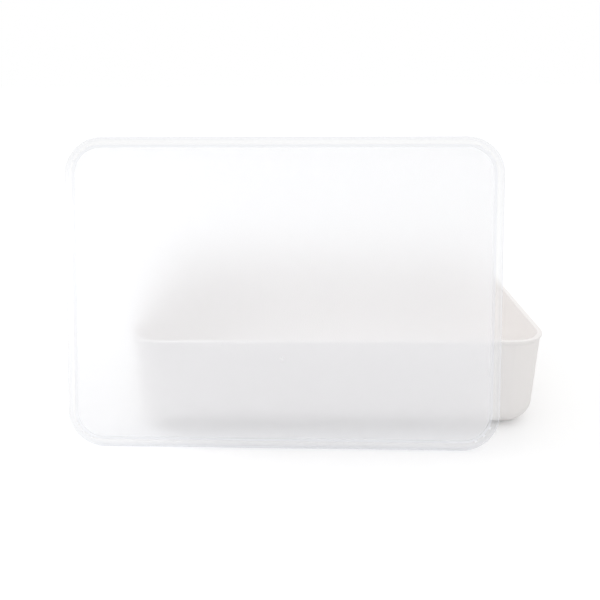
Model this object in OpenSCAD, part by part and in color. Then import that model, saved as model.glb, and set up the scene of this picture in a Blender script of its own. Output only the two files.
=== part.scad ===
/* [Tray] */
// Length across the outside of the rim
tray_w = 287; // [180:1:380]
// Depth across the outside of the rim
tray_d = 204; // [130:1:300]
// Height from the surface it stands on to the top of the rim
tray_h = 69; // [50:1:120]
// Outer corner radius of the rim
tray_corner = 23.1; // [22:0.1:45]
// Thickness of the side walls
wall = 2.2; // [1.2:0.1:3]
// Thickness of the floor
floor_t = 2.2; // [1.2:0.1:4]
// Lean of the side walls away from upright, in degrees
draft = 0.3; // [0.1:0.1:2.5]
// Radius where the walls turn into the floor, outside
bottom_round = 16; // [8:0.5:17]
// Height of the lip round the rim, down to where it meets the wall
rim_h = 3.4; // [2.6:0.1:6]
// Height of the lip's upright edge, above its slanting underside
lip_h = 1.2; // [1:0.1:2.4]
// How far the lip stands out from the wall
rim_out = 1; // [0.6:0.1:2]
// Radius on the upper edges of the rim
rim_round = 0.6; // [0.2:0.1:0.8]
// Height of the low foot under the floor
foot_h = 0.8; // [0.4:0.1:2]
// How far the foot lies inside the start of the bottom round
foot_in = 1.5; // [0.5:0.1:4]

/* [Lid] */
// Thickness of the top plate
plate_t = 1.2; // [0.8:0.1:2]
// Thickness of the outer skirt
skirt_t = 1.2; // [0.8:0.1:2]
// Depth of the skirt from the outer face to its free edge
skirt_depth = 5.6; // [4:0.1:10]
// Thickness of the inner ring that plugs into the tray
plug_t = 1.2; // [0.8:0.1:2]
// Depth of the inner ring from the outer face to its free edge
plug_depth = 4.8; // [3:0.1:9]
// Gap left between the lid and the rim on each side
fit_gap = 0.35; // [0.15:0.05:0.8]
// Radius on the outer edge of the lid
edge_round = 0.8; // [0.2:0.1:1.1]

/* [Corner ribs] */
// Ribs at each corner of the inner ring that grip the tray wall
ribs = 3; // [1:1:5]
// Angle between neighbouring ribs, in degrees
rib_step = 18.5; // [10:0.5:30]
// Width of a rib
rib_w = 1.0; // [0.6:0.1:2]
// How far a rib stands out from the ring
rib_out = 0.5; // [0.1:0.05:0.6]

/* [Moulding mark] */
// Distance of the mark on the lid from its lower long edge
mark_up = 61; // [30:1:90]
// Diameter of the sunk ring of the mark
mark_d = 6; // [3:0.5:12]
// Diameter of the raised dot in it
dot_d = 2; // [1:0.1:2.5]
// Depth of the sunk ring
mark_sink = 0.25; // [0.1:0.05:0.4]

/* [Lid taken off] */
// How far the lid leans back from upright, in degrees
lid_lean = 17.5; // [6:0.5:25]
// How far the lid stands to the left of the tray's centre
lid_shift = 36.6; // [20:0.1:55]
// Gap between the lid and the rim that it leans on
lean_gap = 0.3; // [0.2:0.05:1]

/* [Hidden] */
$fn = 96;
// How far a cut runs past the surface that it opens
over = 1;
// Outline of the lid, over the rim and the gap
skirt_gap = skirt_t + fit_gap;
lid_w = tray_w + 2 * skirt_gap;
lid_d = tray_d + 2 * skirt_gap;
lid_corner = tray_corner + skirt_gap;
// Distance of the inner ring's outer face from the lid's edge
plug_in = skirt_gap + rim_out + wall + fit_gap;
// Distance of the wall's outer face inside the rim at a height
function wall_in(z) = rim_out + (tray_h - rim_h - z) * tan(draft);
// Centre of the bottom round, from the corner axis, for an outer face that lies this far in
function round_x(in, r, z) = tray_corner - wall_in(z) - in - r / cos(draft);
// Turn of the lid about the upright: its skirt stands on the rim at the right and its plate at the left
lid_reach = lid_w / 2 - plug_in - plug_t - lid_shift;
turn_arm = lid_reach + tray_w / 2 - tray_corner;
lid_turn = asin((max(skirt_depth, plug_depth) - plate_t) / cos(lid_lean) / turn_arm);
// Height of the lid's centre, with the skirt's free edge on the surface
lid_z = lid_d / 2 * cos(lid_lean) + skirt_depth * sin(lid_lean);
// Place of the rim's left corner along the lid's normal, at the height of the rim
rim_reach = (tray_w / 2 - tray_corner) * sin(lid_turn)
    + (tray_d / 2 - tray_corner) * cos(lid_turn)
    + tray_corner;
lid_front = rim_reach + (lean_gap + plate_t) / cos(lid_lean) + (tray_h - lid_z) * tan(lid_lean);
lid_y = (lid_shift * sin(lid_turn) - lid_front) / cos(lid_turn);

// Runs a section round a rectangle with round corners. The section's x starts at the corner axes.
module run_round(w, d, r) {
    for (side = [0, 1]) {
        for (end = [0, 1]) {
            rotate([0, 0, 180 * end + 90 * side]) {
                long = side == 0 ? w : d;
                wide = side == 0 ? d : w;
                translate([long / 2 - r, 0, 0])
                    rotate([90, 0, 0])
                        linear_extrude(wide - 2 * r, center = true)
                            children();
                translate([long / 2 - r, wide / 2 - r, 0])
                    rotate_extrude(angle = 90)
                        children();
            }
        }
    }
}

// Plate with round corners
module round_plate(w, d, r, h) {
    linear_extrude(h)
        square([w - 2 * r, d - 2 * r], center = true);
    run_round(w, d, r)
        square([r, h]);
}

// Half section of a tub: a leaning wall, a round and a flat bottom, up to the height top
module tub_section(in, z, r, top) {
    centre = [round_x(in, r, z + r), z + r];
    wall_top = tray_corner - wall_in(top) - in;
    polygon([
        [0, z],
        [centre.x, z],
        centre,
        [centre.x + r * cos(draft), centre.y - r * sin(draft)],
        [wall_top, top],
        [0, top]
    ]);
    translate(centre)
        circle(r);
}

// Solid tub, made of its half section
module tub(in, z, r, top) {
    translate([0, 0, z])
        linear_extrude(top - z)
            square([tray_w - 2 * tray_corner, tray_d - 2 * tray_corner], center = true);
    run_round(tray_w, tray_d, tray_corner)
        intersection() {
            tub_section(in, z, r, top);
            translate([0, z])
                square([tray_corner, top - z]);
        }
}

module tray() {
    color("oldlace")
        difference() {
            union() {
                tub(0, foot_h, bottom_round, tray_h - rim_h);
                rim_lip();
                foot();
            }
            tub(wall, foot_h + floor_t, bottom_round - wall, tray_h + over);
            mouth_round();
        }
}

// Cut that rounds the inner upper edge of the rim
module mouth_round() {
    inner = tray_corner - wall_in(tray_h) - wall;
    run_round(tray_w, tray_d, tray_corner)
        difference() {
            translate([inner - over, tray_h - rim_round])
                square([over + rim_round, over]);
            translate([inner + rim_round, tray_h - rim_round])
                circle(rim_round);
        }
}

// Lip round the mouth of the tray, which slants back to the wall underneath
module rim_lip() {
    translate([0, 0, tray_h - rim_h])
        linear_extrude(rim_h)
            square([tray_w - 2 * tray_corner, tray_d - 2 * tray_corner], center = true);
    run_round(tray_w, tray_d, tray_corner) {
        polygon([
            [0, tray_h - rim_h],
            [tray_corner - rim_out, tray_h - rim_h],
            [tray_corner, tray_h - lip_h],
            [tray_corner, tray_h - rim_round],
            [tray_corner - rim_round, tray_h],
            [0, tray_h]
        ]);
        translate([tray_corner - rim_round, tray_h - rim_round])
            circle(rim_round);
    }
}

// Low foot that lifts the bottom round off the surface
module foot() {
    foot_r = round_x(0, bottom_round, foot_h + bottom_round) - foot_in;
    cut = tray_corner - foot_r;
    round_plate(tray_w - 2 * cut, tray_d - 2 * cut, foot_r, foot_h + floor_t / 2);
}

// Lid as it lies shut: outer face up at height 0, ring and skirt pointing down
module lid_shut() {
    difference() {
        union() {
            translate([0, 0, -plate_t])
                round_plate(lid_w - 2 * edge_round, lid_d - 2 * edge_round, lid_corner - edge_round,
                            plate_t);
            run_round(lid_w, lid_d, lid_corner)
                skirt_section();
            run_round(lid_w, lid_d, lid_corner)
                translate([lid_corner - plug_in - plug_t, -plug_depth])
                    square([plug_t, plug_depth - plate_t / 2]);
            corner_ribs();
        }
        translate([0, mark_up - lid_d / 2, -mark_sink])
            difference() {
                cylinder(d = mark_d, h = over);
                translate([0, 0, -over])
                    cylinder(d = dot_d, h = 2 * over);
            }
    }
}

// Half section of the skirt, with its round upper edge
module skirt_section() {
    translate([lid_corner - skirt_t, -skirt_depth])
        square([skirt_t, skirt_depth - edge_round]);
    translate([lid_corner - skirt_t, -edge_round])
        square([skirt_t - edge_round, edge_round]);
    translate([lid_corner - edge_round, -edge_round])
        circle(edge_round);
}

// Ribs on the outside of the inner ring, at its round corners
module corner_ribs() {
    ring_r = lid_corner - plug_in;
    for (corner = [0:3]) {
        side = corner % 2 == 0 ? [lid_w, lid_d] : [lid_d, lid_w];
        rotate([0, 0, 90 * corner])
            translate([side.x / 2 - lid_corner, side.y / 2 - lid_corner, 0])
                for (i = [0:ribs - 1])
                    rotate([0, 0, 45 + (i - (ribs - 1) / 2) * rib_step])
                        translate([ring_r - plug_t / 2, -rib_w / 2, -plug_depth])
                            cube([plug_t / 2 + rib_out, rib_w, plug_depth - plate_t / 2]);
    }
}

// Lid taken off, on its long edge in front of the tray, leaning on the rim
module lid() {
    color("azure")
        translate([-lid_shift, lid_y, lid_z])
            rotate([90 - lid_lean, 0, -lid_turn])
                lid_shut();
}

tray();
lid();
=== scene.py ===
"""A frosted lid leans on a shallow off-white freezer tray, on a white table under soft light."""

import math

import bpy
from mathutils import Matrix, Vector

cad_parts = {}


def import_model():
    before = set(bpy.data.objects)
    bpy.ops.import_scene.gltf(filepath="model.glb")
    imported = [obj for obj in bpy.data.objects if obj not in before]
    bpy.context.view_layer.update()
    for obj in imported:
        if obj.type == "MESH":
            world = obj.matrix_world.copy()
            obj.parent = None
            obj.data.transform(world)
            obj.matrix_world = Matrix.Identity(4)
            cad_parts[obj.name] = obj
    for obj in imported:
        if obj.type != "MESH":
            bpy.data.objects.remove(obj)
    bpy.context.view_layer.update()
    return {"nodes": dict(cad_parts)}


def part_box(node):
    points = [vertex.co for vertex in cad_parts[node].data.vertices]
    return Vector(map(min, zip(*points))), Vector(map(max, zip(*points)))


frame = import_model()

# Camera of the photograph, from the outlines of the lid and the tray
IMAGE = 600  # side of the photograph, in pixels
FOCAL = 636.9  # focal length, in pixels
SENSOR = 36.0  # width of Blender's sensor, in millimetres
CAMERA_X = -0.01964
CAMERA_IN_FRONT = 0.3897  # of the tray's front
CAMERA_Z = 0.24665
CAMERA_TURNS = (-0.742, 20.731, -0.342)  # to the right, down and roll, in degrees
CAMERA_CLIP = 0.01

# Light
WORLD_LIGHT = (0.82, 1.08)  # strength from the horizon and below, and from straight above
KEY_PLACE = (-0.9, 0.35, 0.7)
KEY_TARGET = (0, 0, 0.03)
KEY_SIDE = 0.6
KEY_POWER = 3.2

# White table
FLOOR_REACH = 6.0
FLOOR_DROP = 0.0002  # how far it lies under the object
FLOOR_COLOUR = (0.88, 0.88, 0.88)
FLOOR_LIFT = 0.16  # light added to what the camera sees of it, so that it shows as white
FLOOR_THROUGH = 0.5  # share of that lift that is left behind the lid, far back on the table; nearer the tray it falls to none, a painted shade on the table seen through the lid
FLOOR_SHADE_FAR = 0.3  # distance behind the tray at which that share is reached, where the painted shade ends

# Tray's plastic
TRAY_COLOURS = ((0.834, 0.809, 0.795), (0.846, 0.822, 0.808))
TRAY_ROUGH = (0.42, 0.52)
TRAY_GLOSS = (1.49, 0.4)  # index of refraction and specular level
CLOUD_SCALE = 9
GRAIN_SCALE = 2600
GRAIN_STRENGTH = 0.25
GRAIN_DEPTH = 0.00005
NOISE_SPAN = (0.3, 0.7)  # where most of a noise's values lie

# Lid's sizes, as in the part's source
PLATE = 0.0012  # thickness
LID_CORNER = 0.02465  # radius of the outline's corners
RING_IN = 0.0057  # from the outline to the middle of the inner ring
RING_R = 0.0195  # radius of the ring's corners
RIB_TURNS = (-18.5, 0.0, 18.5)  # from the corner's middle, in degrees
DOT_DOWN = 0.04255  # from the lid's centre to the dot of the moulding mark

# Widths of the marks that these leave on the lid's front
RING_HALF = 0.0008
SKIRT_HALF = 0.0010
RIB_HALF = 0.0009
RIB_OUT = 0.0011
DOT_HALF = 0.0007
LINE_SOFT = 0.0004

# Lid's plastic
LID_GLOSS = (1.4, 0.35)  # index of refraction and specular level
PLATE_TINT = (0.988, 0.990, 1.0)
THICK_TINT = (0.88, 0.893, 0.933)  # where the ring, its ribs and the skirt stand behind the plate
WALL_TINT = (0.978, 0.981, 0.99)  # of one face of the ring and the skirt
LID_SHADE = (0.965, 0.968, 0.978)  # of the light that one face lets through
CLEAR = 0.75  # share that a face of the plate lets through
DOT_CLEAR = 0.45
ROUGH = (0.15, 0.75)  # of the front face and of the back face
RIM_HAZE = (0.26, 0.55)  # of the front face between the skirt and the ring, and over them
BACK_HAZE = 0.05
WALL_STEP = 0.0002  # how far behind the plate the walls of ring and skirt start

tray_low, tray_high = (Vector(corner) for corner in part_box("tray"))
lid_low = Vector(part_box("lid")[0])


def add(tree, kind, **values):
    """A new shader node with these values on its sockets."""
    node = tree.nodes.new(kind)
    for name, value in values.items():
        node.inputs[name.replace("_", " ")].default_value = value
    return node


def material(name):
    """An empty node material and its tree and output."""
    made = bpy.data.materials.new(name)
    made.use_nodes = True
    tree = made.node_tree
    tree.nodes.clear()
    return made, tree, tree.nodes.new("ShaderNodeOutputMaterial")


def put(tree, socket, value):
    """Sets a number, a vector or a colour on a socket, or links another socket to it."""
    if isinstance(value, bpy.types.NodeSocket):
        tree.links.new(value, socket)
    else:
        socket.default_value = value


def math_node(tree, kind, *values):
    """One sum on numbers or sockets."""
    made = tree.nodes.new("ShaderNodeMath")
    made.operation = kind
    for socket, value in zip(made.inputs, values):
        put(tree, socket, value)
    return made.outputs["Value"]


def distance(tree, first, second):
    """Length of the straight line over two legs at a right angle."""
    squares = [math_node(tree, "POWER", leg, 2.0) for leg in (first, second)]
    return math_node(tree, "SQRT", math_node(tree, "ADD", *squares))


def between(tree, source, first, second, span=(0.0, 1.0)):
    """A number that goes from first to second as source goes through the span."""
    made = add(tree, "ShaderNodeMapRange", From_Min=span[0], From_Max=span[1])
    put(tree, made.inputs["Value"], source)
    put(tree, made.inputs["To Min"], first)
    put(tree, made.inputs["To Max"], second)
    return made.outputs["Result"]


def mix_colour(tree, factor, first, second):
    """A colour that goes from first to second as factor goes from 0 to 1."""
    made = tree.nodes.new("ShaderNodeMix")
    made.data_type = "RGBA"
    put(tree, made.inputs["Factor"], factor)
    made.inputs["A"].default_value = (*first, 1)
    made.inputs["B"].default_value = (*second, 1)
    return made.outputs["Result"]


def mix_shader(tree, share, first, second):
    """A mix of two shader nodes: the first at a share of 0 and the second at 1."""
    made = tree.nodes.new("ShaderNodeMixShader")
    put(tree, made.inputs["Fac"], share)
    tree.links.new(first.outputs[0], made.inputs[1])
    tree.links.new(second.outputs[0], made.inputs[2])
    return made


def line(tree, place, middle, half_width, soft):
    """1 on a line and 0 beside it, with soft edges."""
    off = math_node(tree, "ABSOLUTE", math_node(tree, "SUBTRACT", place, middle))
    made = add(tree, "ShaderNodeMapRange", From_Min=half_width + soft, From_Max=half_width - soft)
    made.interpolation_type = "SMOOTHSTEP"
    tree.links.new(off, made.inputs["Value"])
    return made.outputs["Result"]


def noise(tree, scale, detail):
    """Noise in the part's own metres."""
    place = tree.nodes.new("ShaderNodeTexCoord")
    made = add(tree, "ShaderNodeTexNoise", Scale=scale, Detail=detail)
    tree.links.new(place.outputs["Object"], made.inputs["Vector"])
    return made.outputs["Fac"]


def plastic(tree, gloss):
    """A plain plastic with this index of refraction and specular level."""
    skin = add(tree, "ShaderNodeBsdfPrincipled", IOR=gloss[0])
    skin.inputs["Specular IOR Level"].default_value = gloss[1]
    return skin


def tray_plastic():
    """Opaque off-white moulded plastic with a fine satin grain."""
    made, tree, out = material("tray_plastic")
    skin = plastic(tree, TRAY_GLOSS)
    cloud = between(tree, noise(tree, CLOUD_SCALE, 3), 0.0, 1.0, NOISE_SPAN)
    tree.links.new(mix_colour(tree, cloud, *TRAY_COLOURS), skin.inputs["Base Color"])
    fine = noise(tree, GRAIN_SCALE, 2)
    tree.links.new(between(tree, fine, *TRAY_ROUGH, NOISE_SPAN), skin.inputs["Roughness"])
    bump = add(tree, "ShaderNodeBump", Strength=GRAIN_STRENGTH, Distance=GRAIN_DEPTH)
    tree.links.new(fine, bump.inputs["Height"])
    tree.links.new(bump.outputs["Normal"], skin.inputs["Normal"])
    tree.links.new(skin.outputs["BSDF"], out.inputs["Surface"])
    return made


def lid_frame():
    """The lid's own axes, its centre on its outer face and half its width and height there."""
    mesh = frame["nodes"]["lid"].data
    face = max((face for face in mesh.polygons if face.normal.y < 0), key=lambda face: face.area)
    out = face.normal.copy()
    right = Vector((0, 0, 1)).cross(out).normalized()
    up = out.cross(right)
    across, height, depth = (
        [axis.dot(vertex.co) for vertex in mesh.vertices] for axis in (right, up, out)
    )
    middle = (min(across) + max(across)) / 2 * right + (min(height) + max(height)) / 2 * up
    half = [(max(reach) - min(reach)) / 2 for reach in (across, height)]
    return right, up, out, middle + max(depth) * out, half


def lid_place(tree):
    """Place on the lid: across, up, distance inside the outline, angle round the corner and depth."""
    right, up, out, centre, half = lid_frame()
    place = tree.nodes.new("ShaderNodeTexCoord").outputs["Object"]
    spots = []
    for axis in (right, up, out):
        along = tree.nodes.new("ShaderNodeVectorMath")
        along.operation = "DOT_PRODUCT"
        along.inputs[1].default_value = axis
        tree.links.new(place, along.inputs[0])
        spots.append(math_node(tree, "SUBTRACT", along.outputs["Value"], axis.dot(centre)))
    past = [
        math_node(tree, "SUBTRACT", math_node(tree, "ABSOLUTE", spot), side - LID_CORNER)
        for spot, side in zip(spots, half)
    ]
    corner = distance(tree, *(math_node(tree, "MAXIMUM", spot, 0.0) for spot in past))
    straight = math_node(tree, "MINIMUM", math_node(tree, "MAXIMUM", *past), 0.0)
    inset = math_node(tree, "SUBTRACT", LID_CORNER, math_node(tree, "ADD", corner, straight))
    angle = math_node(tree, "ARCTAN2", past[1], past[0])
    depth = math_node(tree, "MULTIPLY", spots[2], -1.0)
    return spots[0], spots[1], inset, angle, depth


def thick_spots(tree, inset, angle):
    """Where the ring, its ribs and the skirt stand behind the plate, seen square on."""
    shown = line(tree, inset, RING_IN, RING_HALF, LINE_SOFT)
    shown = math_node(tree, "MAXIMUM", shown, line(tree, inset, 0.0, SKIRT_HALF, LINE_SOFT))
    stands = line(tree, inset, RING_IN - RING_HALF, RIB_OUT, LINE_SOFT)
    for turn in RIB_TURNS:
        rib = line(tree, angle, math.radians(45 + turn), RIB_HALF / RING_R, LINE_SOFT / RING_R)
        shown = math_node(tree, "MAXIMUM", shown, math_node(tree, "MULTIPLY", rib, stands))
    return shown


def gate_dot(tree, across, up):
    """1 on the small dot of the moulding mark."""
    off = distance(tree, across, math_node(tree, "ADD", up, DOT_DOWN))
    return line(tree, off, 0.0, DOT_HALF, LINE_SOFT / 2)


def lid_plastic():
    """Frosted polypropylene: what touches it is sharp through it, and what is far is a blur."""
    made, tree, out = material("lid_plastic")
    across, up, inset, angle, depth = lid_place(tree)
    inside = math_node(tree, "GREATER_THAN", depth, PLATE / 2)
    walls = math_node(tree, "GREATER_THAN", depth, PLATE + WALL_STEP)
    front = math_node(tree, "SUBTRACT", 1.0, inside)
    thick = math_node(tree, "MULTIPLY", thick_spots(tree, inset, angle), front)
    rim = line(tree, inset, 0.0, RING_IN + RING_HALF, LINE_SOFT)
    dot = math_node(tree, "MULTIPLY", gate_dot(tree, across, up), front)

    skin = plastic(tree, LID_GLOSS)
    tree.links.new(mix_colour(tree, thick, PLATE_TINT, THICK_TINT), skin.inputs["Base Color"])
    see_through = between(tree, dot, CLEAR, DOT_CLEAR)
    tree.links.new(between(tree, rim, see_through, 0.0), skin.inputs["Transmission Weight"])
    tree.links.new(between(tree, inside, *ROUGH), skin.inputs["Roughness"])
    haze = between(tree, inside, between(tree, thick, *RIM_HAZE), BACK_HAZE)
    tree.links.new(between(tree, rim, 1.0, haze), skin.inputs["Alpha"])

    veil = add(tree, "ShaderNodeBsdfTransparent", Color=(*WALL_TINT, 1))
    body = mix_shader(tree, walls, skin, veil)
    shade = add(tree, "ShaderNodeBsdfTransparent", Color=(*LID_SHADE, 1))
    path = tree.nodes.new("ShaderNodeLightPath")
    light = math_node(tree, "MAXIMUM", path.outputs["Is Shadow Ray"], path.outputs["Is Diffuse Ray"])
    tree.links.new(mix_shader(tree, light, body, shade).outputs[0], out.inputs["Surface"])
    return made


def dress(node, made):
    """Puts one material on a CAD node."""
    obj = frame["nodes"][node]
    if not obj.material_slots:
        obj.data.materials.append(made)
    for place in obj.material_slots:
        place.material = made


def seen(tree, through=1.0):
    """1 for what the camera sees, through for what a gloss or the clear lid shows, and 0 for light."""
    path = tree.nodes.new("ShaderNodeLightPath")
    camera_ray = path.outputs["Is Camera Ray"]
    veiled = math_node(tree, "MINIMUM", path.outputs["Transparent Depth"], camera_ray)
    direct = math_node(tree, "SUBTRACT", camera_ray, veiled)
    gloss = math_node(tree, "MAXIMUM", path.outputs["Is Glossy Ray"], path.outputs["Is Transmission Ray"])
    other = math_node(tree, "MAXIMUM", gloss, veiled)
    return math_node(tree, "MAXIMUM", direct, math_node(tree, "MULTIPLY", other, through))


def floor_white():
    """Matt white that shows as white and keeps the object's shadow, with painted shade near the tray
    where it is seen through the lid.
    """
    made, tree, out = material("floor")
    base = add(tree, "ShaderNodeBsdfDiffuse", Color=(*FLOOR_COLOUR, 1))
    place = tree.nodes.new("ShaderNodeTexCoord")
    parts = tree.nodes.new("ShaderNodeSeparateXYZ")
    tree.links.new(place.outputs["Object"], parts.inputs["Vector"])
    # The lift fades out towards the tray: painted shade on the table where the lid shows it
    span = (tray_low.y, tray_high.y + FLOOR_SHADE_FAR)
    through = between(tree, parts.outputs["Y"], 0.0, FLOOR_THROUGH, span)
    lift = add(tree, "ShaderNodeEmission", Color=(1, 1, 1, 1))
    strength = math_node(tree, "MULTIPLY", seen(tree, through), FLOOR_LIFT)
    tree.links.new(strength, lift.inputs["Strength"])
    total = tree.nodes.new("ShaderNodeAddShader")
    tree.links.new(base.outputs["BSDF"], total.inputs[0])
    tree.links.new(lift.outputs["Emission"], total.inputs[1])
    tree.links.new(total.outputs["Shader"], out.inputs["Surface"])
    return made


def floor():
    """Wide table just under the object."""
    mesh = bpy.data.meshes.new("floor")
    height = min(tray_low.z, lid_low.z) - FLOOR_DROP
    corners = [(-1, -1), (1, -1), (1, 1), (-1, 1)]
    places = [(x * FLOOR_REACH, y * FLOOR_REACH, height) for x, y in corners]
    mesh.from_pydata(places, [], [(0, 1, 2, 3)])
    obj = bpy.data.objects.new("floor", mesh)
    bpy.context.scene.collection.objects.link(obj)
    mesh.materials.append(floor_white())


def world():
    """Plain soft light from all round, seen as white."""
    made = bpy.data.worlds.new("studio")
    made.use_nodes = True
    tree = made.node_tree
    tree.nodes.clear()
    out = tree.nodes.new("ShaderNodeOutputWorld")
    soft = add(tree, "ShaderNodeBackground", Color=(1, 1, 1, 1))
    place = tree.nodes.new("ShaderNodeTexCoord")
    parts = tree.nodes.new("ShaderNodeSeparateXYZ")
    tree.links.new(place.outputs["Generated"], parts.inputs["Vector"])
    tree.links.new(between(tree, parts.outputs["Z"], *WORLD_LIGHT), soft.inputs["Strength"])
    white = add(tree, "ShaderNodeBackground", Color=(1, 1, 1, 1), Strength=1.0)
    both = mix_shader(tree, seen(tree), soft, white)
    tree.links.new(both.outputs["Shader"], out.inputs["Surface"])
    bpy.context.scene.world = made


def lamp(name, place, target, side, power):
    """A square soft box aimed at a point."""
    data = bpy.data.lights.new(name, "AREA")
    data.shape = "SQUARE"
    data.size = side
    data.energy = power
    obj = bpy.data.objects.new(name, data)
    obj.location = place
    aim = Vector(target) - Vector(place)
    obj.rotation_euler = aim.to_track_quat("-Z", "Y").to_euler()
    bpy.context.scene.collection.objects.link(obj)


def camera():
    """The photograph's camera: almost square on, looking down a little."""
    place = Vector((CAMERA_X, tray_low.y - CAMERA_IN_FRONT, CAMERA_Z))
    yaw, pitch, roll = (math.radians(angle) for angle in CAMERA_TURNS)
    ahead = Vector((math.sin(yaw) * math.cos(pitch), math.cos(yaw) * math.cos(pitch), -math.sin(pitch)))
    flat_right = Vector((math.cos(yaw), -math.sin(yaw), 0))
    flat_up = flat_right.cross(ahead)
    right = math.cos(roll) * flat_right + math.sin(roll) * flat_up
    up = math.cos(roll) * flat_up - math.sin(roll) * flat_right
    data = bpy.data.cameras.new("camera")
    data.sensor_width = SENSOR
    data.lens = FOCAL / IMAGE * SENSOR
    data.clip_start = CAMERA_CLIP
    obj = bpy.data.objects.new("camera", data)
    turn = Matrix((right, up, -ahead)).transposed()
    obj.matrix_world = Matrix.Translation(place) @ turn.to_4x4()
    bpy.context.scene.collection.objects.link(obj)
    bpy.context.scene.camera = obj


camera()
world()
floor()
lamp("key", KEY_PLACE, KEY_TARGET, KEY_SIDE, KEY_POWER)
dress("tray", tray_plastic())
dress("lid", lid_plastic())

bpy.context.scene.view_settings.view_transform = "Standard"
